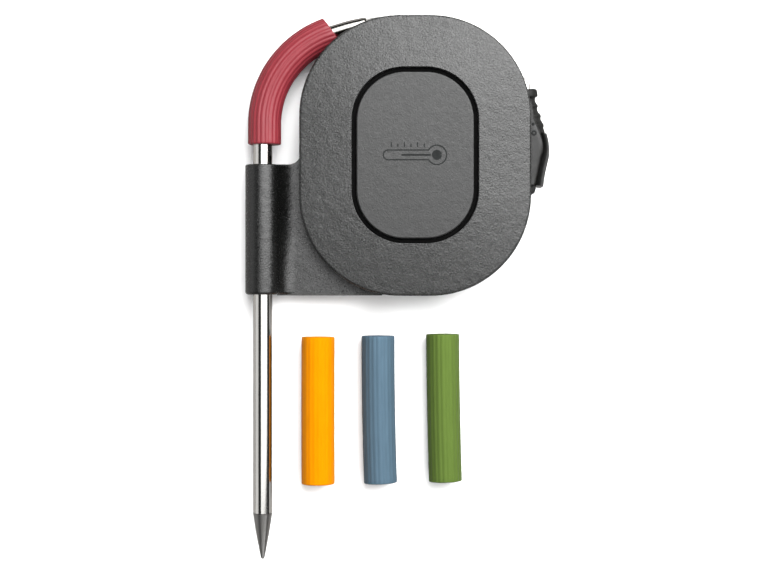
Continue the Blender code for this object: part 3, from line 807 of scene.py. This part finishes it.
def make_probe_tube(steel):
    """Bent tube, open at both ends."""
    route = probe_route(TIP_BASE + 0.12, SHEATH_TURN, 3.0)
    outer = flat_sweep(route, [PROBE_R] * 72)
    inner = flat_sweep(route, [PROBE_R - TUBE_WALL] * 72)
    data = bmesh.new()
    add_pipe(data, outer, inner)
    tube = finish_mesh("probe_tube", data, "probe", steel, 50.0)
    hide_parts("probe_sheath")


def make_probe_point(steel):
    """Ground tip: a full cone with a small round end and a shoulder line."""
    length = TIP_BASE - TIP_END
    neck = 2.1
    profile = [(0.0, 0.02), (0.04, 0.18), (0.14, 0.34), (0.32, 0.48)]
    for i in range(1, 25):
        share = i / 24
        place = 0.32 + (length - 0.5) * share
        profile.append((place, 0.48 + (PROBE_R - 0.5) * (1.16 * share - 0.16 * share * share)))
    profile += [(length - 0.05, PROBE_R), (length, PROBE_R - 0.05)]
    profile += [(length + 0.02, neck), (length + 2.5, neck)]
    data = bmesh.new()
    add_loft(data, turned(profile, (PROBE_X, TIP_END, MID), (0.0, 1.0, 0.0), 72))
    point = finish_mesh("probe_point", data, "probe", steel, 40.0)
    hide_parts("probe_tip")


def crimp_route():
    """Centre line from inside the probe's end to the bare cable."""
    stations = [on_bend(55.0), on_bend(60.0)]
    spots = [(-24.3, 31.95, 0.36), (-20.8, 33.1, 0.28), (-16.9, 34.2, 0.24), (-12.6, 35.15, 0.2)]
    for x, y, slope in spots:
        stations.append((Vector((x, y, MID)), Vector((1.0, slope, 0.0)).normalized()))
    return stations


def make_crimp(steel):
    """Polished ferrule between the probe and the cable, rolled in at its end."""
    centres = smooth_curve([centre for centre, _ in crimp_route()], 8)
    stations = []
    for i, centre in enumerate(centres):
        before = centres[max(i - 1, 0)]
        after = centres[min(i + 1, len(centres) - 1)]
        stations.append((centre, (after - before).normalized()))
    outer = []
    last = len(stations) - 1
    for i, station in enumerate(stations):
        rolled = {last: 0.2, last - 1: 0.06}.get(i, 0.0)
        outer += flat_sweep([station], [CRIMP_R - rolled] * 48)
    data = bmesh.new()
    add_pipe(data, outer, flat_sweep(stations, [CABLE_R + 0.1] * 48))
    crimp = finish_mesh("crimp_tube", data, "probe", steel, 50.0)
    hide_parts("crimp_ferrule")


def rib_radii(depth, phase, per_rib=10):
    """Radii around a ribbed sleeve: broad crests with narrow valleys between them."""
    count = RIBS * per_rib
    radii = []
    for i in range(count):
        wave = 0.5 + 0.5 * math.cos(2.0 * math.pi * (i / per_rib + phase))
        radii.append(SLEEVE_R - depth * (1.0 - wave) ** 1.5)
    return radii


def sleeve_rings(stations, bore, radii, skew=0.0):
    """Outer and inner rings of a ribbed sleeve; skew slants its last end."""
    count = len(radii)
    edge = 0.35
    outer = []
    first, first_tangent = stations[0]
    final, final_tangent = stations[-1]
    for inset, drop in edge_profile(edge, 4):
        station = (first + first_tangent * drop, first_tangent)
        outer += flat_sweep([station], [r - inset for r in radii])
    near = edge * 1.5
    for centre, tangent in stations[1:-1]:
        if (centre - first).length > near and (centre - final).length > 3.0 * skew + near:
            outer += flat_sweep([(centre, tangent)], radii)
    for inset, drop in edge_profile(edge, 4)[::-1]:
        side = Vector((final_tangent.y, -final_tangent.x, 0.0))
        station = (final - final_tangent * drop, final_tangent)
        ring = flat_sweep([station], [r - inset for r in radii])[0]
        outer.append([p + final_tangent * (skew * (p - final).dot(side)) for p in ring])
    inner = []
    for k, points in enumerate(outer):
        middle = sum((Vector(p) for p in points), Vector()) / count
        widen = 1.0 if k < len(outer) - 5 else 1.02
        inner.append([middle + (p - middle).normalized() * bore * widen for p in points])
    return outer, inner


def make_red_sleeve(rubber_and_groove_shade):
    """Ribbed sleeve stretched over the probe's bend, thicker inside the bend."""
    stations = []
    for centre, tangent in probe_route(SLEEVE_START, SLEEVE_TURN):
        side = Vector((tangent.y, -tangent.x, 0.0))
        stations.append((centre + side * SLEEVE_LEAN, tangent))
    radii = [r - 0.06 for r in rib_radii(0.145, 0.25)]
    outer, inner = sleeve_rings(stations, PROBE_R - 0.3, radii, 0.33)
    data = bmesh.new()
    add_pipe(data, outer, inner)
    sleeve = finish_mesh("red_sleeve", data, "probe", rubber_and_groove_shade, 50.0)
    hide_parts("sleeve_red")


def make_spare(colour, rubber_and_groove_shade, tilt, bow, phase, depth):
    """Straight ribbed sleeve, lying a little off square and very slightly bowed."""
    node = "sleeve_" + colour
    low, high = box_mm(node)
    middle = (low + high) / 2
    middle.z = SLEEVE_R
    angle = math.radians(tilt)
    along = Vector((math.sin(angle), -math.cos(angle), 0.0))
    side = Vector((along.y, -along.x, 0.0))
    half = SPARE_LENGTH / 2
    stations = []
    for i in range(33):
        place = -half + 2.0 * half * i / 32
        lift = bow * (1.0 - (place / half) ** 2)
        slope = -2.0 * bow * place / (half * half)
        centre = middle + along * place + side * lift
        stations.append((centre, (along + side * slope).normalized()))
    outer, inner = sleeve_rings(stations, SPARE_BORE, rib_radii(depth, phase))
    data = bmesh.new()
    add_pipe(data, outer, inner)
    body = "spare_" + colour
    piece = finish_mesh(colour + "_sleeve", data, body, rubber_and_groove_shade, 50.0)
    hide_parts(node)


# Plug

# Right-hand edge of the lens-shaped plug face, from the boot's side downwards.
LENS_EDGE = [
    (30.3, 14.2), (31.1, 9.95), (32.4, 6.7), (33.2, 4.4),
    (33.45, 1.8), (32.7, -1.1), (31.9, -5.0), (31.4, -7.3),
]

# The grip's edge beside the lens and its outer edge, downwards.
GRIP_INNER = [
    (32.6, 6.2), (33.15, 4.3), (33.35, 2.6), (33.35, 1.5),
    (32.75, -0.7), (32.2, -3.0), (31.85, -5.0), (31.35, -7.6),
]
GRIP_OUTER = [
    (34.3, 5.95), (34.85, 3.7), (35.0, 1.9), (35.0, 0.9),
    (34.9, -0.4), (34.35, -2.8), (33.85, -5.0), (33.45, -7.9),
]

# The grip's section: share of the way from inner to outer edge, height.
GRIP_SECTION = [
    (0.0, 3.4), (0.08, 3.2), (0.88, 3.2), (1.0, 3.5), (1.0, 11.5),
    (0.98, 11.72), (0.92, 11.8), (0.78, 11.8), (0.66, 11.78), (0.55, 11.72),
    (0.44, 11.6), (0.33, 11.42), (0.22, 11.19), (0.11, 10.92), (0.0, 10.62),
]

# The boot's rings: place along it from the lens, radius.
BOOT_RINGS = [
    (-0.8, 3.3), (0.0, 3.4), (0.6, 3.32), (1.15, 3.22), (1.65, 3.34), (2.2, 3.38),
    (2.75, 3.1), (3.35, 2.86), (3.9, 2.8), (4.4, 2.96), (4.95, 2.84), (5.5, 2.46),
    (6.05, 2.28), (6.6, 2.3), (7.1, 2.54), (7.65, 2.4), (8.2, 2.06), (8.75, 2.02),
    (9.3, 2.1), (9.6, 2.6), (9.85, 2.85),
]


def crowned(points, low, high, edge, crown):
    """Plate whose upper edge falls away softly by a width given for each point."""
    rings = plate_rings(points, low, high - edge, edge)[:-6]
    shifted = offset(points, -1.0)
    for k in range(7):
        turn = 0.5 * math.pi * k / 6
        drop = edge * (1.0 - math.sin(turn))
        ring = []
        for (x, y), (inner_x, inner_y), width in zip(points, shifted, crown):
            share = width * (1.0 - math.cos(turn))
            ring.append((x + (inner_x - x) * share, y + (inner_y - y) * share, high - drop))
        rings.append(ring)
    return rings


def make_plug(shell, dark, rubber_and_groove_shade, mark):
    """Lens-shaped plug with its curved outer grip, ribbed boot and moulded signs."""
    low_end = [(28.4, -7.0), (29.0, -7.6), (30.9, -7.6)]
    lens = [tuple(p) for p in smooth_curve(LENS_EDGE[::-1], 6)]
    border = [(29.0, 14.0), (28.4, 12.0)] + low_end + lens
    crown = []
    for x, _ in border:
        crown.append(0.15 if x < 31.0 else 1.5 * min(1.0, (x - 30.75) / 0.9))
    data = bmesh.new()
    add_loft(data, crowned(border, 3.0, PLUG_FACE, 0.55, crown))
    body = finish_mesh("plug_shell", data, "plug", shell, 40.0, True)
    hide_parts("plug_body")
    make_grip(shell)
    block = [(28.4, -6.5), (28.6, -9.7), (30.95, -9.75), (31.3, -9.4)]
    block += [(31.6, -8.3), (31.6, -7.4), (31.0, -6.4)]
    data = bmesh.new()
    add_loft(data, plate_rings(block, 3.6, 10.4, 0.3))
    finish_mesh("plug_block", data, "plug", dark, 40.0, True)
    make_boot(rubber_and_groove_shade)
    make_sign("plug_ring", 30.98, 6.0, 0.5, 0.42, mark)
    make_sign("plug_dot", 30.75, 8.3, 0.2, 0.45, mark)


def make_sign(name, x, y, radius, width, mark):
    """Small raised ring on the plug's face."""
    rings = []
    for i in range(33):
        turn = 2.0 * math.pi * i / 32
        out = Vector((math.cos(turn), math.sin(turn), 0.0))
        centre = Vector((x, y, PLUG_FACE)) + out * radius
        ring = []
        for k in range(12):
            roll = math.pi * k / 6
            rise = UP * 0.4 * math.sin(roll)
            ring.append(centre + (out * math.cos(roll) + rise) * width / 2)
        rings.append(ring)
    data = bmesh.new()
    add_loft(data, rings, cap=False)
    bmesh.ops.remove_doubles(data, verts=data.verts, dist=MERGE_M)
    finish_mesh(name, data, "plug", mark, 60.0)


def make_grip(plastic):
    """Outer grip: its top rises in a soft hollow from the lens to the outer lip."""
    rings = []
    for a, b in zip(smooth_curve(GRIP_INNER, 6), smooth_curve(GRIP_OUTER, 6)):
        rings.append([between(a, b, share, z) for share, z in GRIP_SECTION])
    data = bmesh.new()
    add_loft(data, rings)
    grip = finish_mesh("plug_rim", data, "plug", plastic, 40.0, True)
    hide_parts("plug_grip")


def make_boot(rubber_and_groove_shade):
    """Strain relief: soft rings that get smaller towards the cable, then a collar."""
    high = Vector((29.25, 17.6, MID))
    low = Vector((30.85, 6.0, MID))
    along = (high - low).normalized()
    length = (high - low).length
    collar = [(length - 0.5, 2.85), (length - 0.15, 2.7), (length, 2.4)]
    profile = [tuple(p) for p in smooth_curve(BOOT_RINGS + collar, 3)]
    outer = turned(profile, low, along, 48)
    inner = turned([(place, CABLE_R + 0.12) for place, _ in profile], low, along, 48)
    data = bmesh.new()
    add_pipe(data, outer, inner)
    boot = finish_mesh("plug_boot", data, "plug", rubber_and_groove_shade, 50.0)
    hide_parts("strain_relief")


def make_pin(gold, nylon):
    """Plug pin with its notched tip, insulating ring and sleeve contact."""
    start = box_mm("jack_tip")[0].x
    tip = [(0.0, 0.05), (0.1, 0.45), (0.45, 0.9), (1.0, 1.38), (1.35, 1.5), (1.65, 1.38)]
    tip += [(2.1, 1.12), (2.4, 1.2), (2.7, 1.5), (2.95, 1.55), (3.1, 1.5), (3.1, 0.6)]
    tip.append((15.9, 0.6))
    along = (1.0, 0.0, 0.0)
    origin = (0.0, PIN_Y, MID)
    data = bmesh.new()
    add_loft(data, turned(tip, (start, PIN_Y, MID), along, 48))
    piece = finish_mesh("pin_tip", data, "plug", gold, 40.0)
    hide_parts("jack_tip")
    rows = (("pin_insulator", "jack_insulator", "insulating_nylon", nylon, 17.05, 18.45),
            ("pin_barrel", "jack_sleeve", "gold_contact", gold, 18.5, 30.4))
    for name, node, slot_name, mat, low, high in rows:
        edge = PIN_R - 0.12
        profile = [(low, edge), (low + 0.12, PIN_R), (high - 0.12, PIN_R), (high, edge)]
        outer = turned(profile, origin, along, 48)
        inner = turned([(place, 0.75) for place, _ in profile], origin, along, 48)
        data = bmesh.new()
        add_pipe(data, outer, inner)
        piece = finish_mesh(name, data, "plug", mat, 40.0)
        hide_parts(node)


# Studio

def light_panel(name, place, turn_y, size, radiance):
    """Flat light that faces down, or is turned about Y, with a given radiance."""
    data = bpy.data.lights.new(name, "AREA")
    data.shape = "RECTANGLE"
    data.size = size[0]
    data.size_y = size[1]
    data.energy = math.pi * size[0] * size[1] * radiance
    made = bpy.data.objects.new(name, data)
    made.location = place
    made.rotation_euler = (0.0, math.radians(turn_y), 0.0)
    bpy.context.collection.objects.link(made)


def overhead(name, x_span, y_span, height, radiance):
    """One layer of the large softbox above the table, from its spans in metres."""
    place = ((x_span[0] + x_span[1]) / 2, (y_span[0] + y_span[1]) / 2, height)
    light_panel(name, place, 0.0, (x_span[1] - x_span[0], y_span[1] - y_span[0]), radiance)


def grey(value):
    """Opaque neutral colour."""
    return (value, value, value, 1.0)


def make_floor():
    """Pale floor; it bounces less light on the object than the camera sees."""
    mesh = bpy.data.meshes.new("floor")
    reach = 0.9
    signs = ((-1, -1), (1, -1), (1, 1), (-1, 1))
    corners = [(x * reach, y * reach, 0.0) for x, y in signs]
    mesh.from_pydata(corners, [], [(0, 1, 2, 3)])
    paper = bpy.data.materials.new("floor_paper")
    paper.use_nodes = True
    tree = paper.node_tree
    tree.nodes.remove(tree.nodes["Principled BSDF"])
    seen = tree.nodes.new("ShaderNodeBsdfDiffuse")
    seen.inputs["Color"].default_value = grey(0.96)
    bounced = tree.nodes.new("ShaderNodeBsdfDiffuse")
    bounced.inputs["Color"].default_value = (0.30, 0.293, 0.285, 1.0)
    mix_for_camera(tree, bounced.outputs["BSDF"], seen.outputs["BSDF"],
                   tree.nodes["Material Output"].inputs["Surface"])
    mesh.materials.append(paper)
    floor = bpy.data.objects.new("floor", mesh)
    bpy.context.collection.objects.link(floor)


def mix_for_camera(tree, other, seen, into):
    """Show one shader to the camera and another to every other ray."""
    choice = tree.nodes.new("ShaderNodeMixShader")
    rays = tree.nodes.new("ShaderNodeLightPath")
    tree.links.new(rays.outputs["Is Camera Ray"], choice.inputs["Fac"])
    tree.links.new(other, choice.inputs[1])
    tree.links.new(seen, choice.inputs[2])
    tree.links.new(choice.outputs["Shader"], into)


def make_studio():
    """Large soft light above, brighter to the upper right, one in front, a card on the left."""
    make_floor()
    overhead("softbox_wide", (-0.26, 1.28), (-0.22, 1.00), 0.800, 2.1)
    overhead("softbox_middle", (-0.18, 1.28), (0.00, 1.00), 0.799, 3.0)
    overhead("softbox_core", (-0.08, 1.20), (0.11, 1.00), 0.798, 5.8)
    overhead("softbox_front", (-0.40, 1.28), (-1.60, -0.62), 0.797, 2.5)
    light_panel("left_card", (-0.85, 0.0, 0.33), -78.0, (0.66, 0.9), 1.05)
    world = bpy.data.worlds.new("studio")
    bpy.context.scene.world = world
    world.use_nodes = True
    tree = world.node_tree
    room = tree.nodes["Background"]
    room.inputs["Color"].default_value = grey(0.035)
    backdrop = tree.nodes.new("ShaderNodeBackground")
    backdrop.inputs["Color"].default_value = grey(0.92)
    mix_for_camera(tree, room.outputs["Background"], backdrop.outputs["Background"],
                   tree.nodes["World Output"].inputs["Surface"])
    bpy.context.scene.view_settings.view_transform = "Standard"


def make_camera():
    """Straight down from 0.44 m, over the foot of the wrap."""
    data = bpy.data.cameras.new("camera")
    data.lens = 76.3
    data.sensor_width = 36.0
    camera = bpy.data.objects.new("camera", data)
    camera.location = Vector((-6.65, -33.6, 441.7)) * MM
    bpy.context.collection.objects.link(camera)
    bpy.context.scene.camera = camera


def repaint(node, mat):
    """Give a carried-over CAD node its finished material."""
    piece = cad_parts[node]
    if not piece.material_slots:
        piece.data.materials.append(mat)
    for slot in piece.material_slots:
        slot.material = mat


def build_wrap(core):
    """Flanges, cap, drum and screws."""
    shell = textured_plastic("wrap_plastic", (0.0075, 0.0078, 0.0075), 0.27,
                             depth=0.125, specular=0.45)
    cap = textured_plastic("cap_plastic", (0.0105, 0.0108, 0.0106), 0.32,
                           depth=0.05, specular=0.34)
    # Darker copy of the wrap plastic for the back plate and holder: painted shade that deepens
    # the holder's shaded right flank.
    shaded_base = textured_plastic("base_plastic_painted_shade", (0.0035, 0.0037, 0.0035), 0.23,
                            grain=0.3, depth=0.08, specular=0.495)
    # Near-black, barely shiny plastic for the groove's ring: painted shade for the deep groove.
    groove_shade = textured_plastic("groove_painted_shade", (0.0025, 0.0025, 0.0025), 0.7,
                              depth=0.01, specular=0.03)
    make_back_plate(shaded_base)
    make_front_shell(shell)
    make_cap(cap, ink())
    make_groove_ring(groove_shade)
    repaint("winding_drum", core)
    zinc = plain_metal("zinc_plate", (0.55, 0.56, 0.58), 0.3)
    make_screws(zinc)
    for k in (1, 2):
        repaint("cap_screw_%d" % k, zinc)


def build_probe():
    """Probe with its sleeve and ferrule, and the sensor inside."""
    make_probe_tube(polished_steel())
    make_probe_point(ground_steel())
    make_crimp(plain_metal("ferrule_steel", (0.34, 0.33, 0.31), 0.13))
    make_red_sleeve(silicone("red_rubber", (0.178, 0.0207, 0.028), 0.37, 0.25, False))
    repaint("thermistor_bead", silicone("bead_glass_coat", (0.16, 0.03, 0.01), 0.15))
    repaint("sensor_insulator", silicone("fired_ceramic", (0.78, 0.75, 0.68), 0.35))
    for side in ("left", "right"):
        wire = plain_metal("lead_wire_" + side, (0.72, 0.6, 0.46), 0.25)
        repaint("sensor_lead_" + side, wire)


def build_plug(core):
    """Plug with its boot and pin."""
    face = textured_plastic("plug_plastic", (0.008, 0.0082, 0.0078), 0.34,
                            grain=0.3, depth=0.04, specular=0.25)
    rubber_and_groove_shade = textured_plastic("boot_plastic", (0.009, 0.009, 0.0085), 0.5,
                              grain=0.3, depth=0.02, specular=0.14)
    dark = textured_plastic("plug_end_plastic", (0.007, 0.007, 0.0065), 0.45,
                            grain=0.3, depth=0.02, specular=0.12)
    make_plug(face, dark, rubber_and_groove_shade, ink())
    make_pin(plain_metal("gold_plate", (0.83, 0.62, 0.30), 0.16), core)


def build_spares():
    """Loose colour sleeves: tilt in degrees, bow in mm, turn of the ribs, their depth."""
    yellow = silicone("yellow_rubber", (0.535, 0.174, 0.0006))
    blue = silicone("blue_rubber", (0.0538, 0.0878, 0.1175))
    green = silicone("green_rubber", (0.0615, 0.0965, 0.0205))
    make_spare("yellow", yellow, 0.0, 0.05, 0.1, 0.06)
    make_spare("blue", blue, 1.0, 0.18, 0.4, 0.085)
    make_spare("green", green, 1.1, 0.12, 0.7, 0.085)


def build():
    """Make everything, one subassembly after the other."""
    make_camera()
    make_cable(braided_steel())
    core = textured_plastic("drum_plastic", (0.008, 0.008, 0.008), 0.5)
    build_wrap(core)
    build_probe()
    build_plug(core)
    build_spares()
    make_studio()


build()
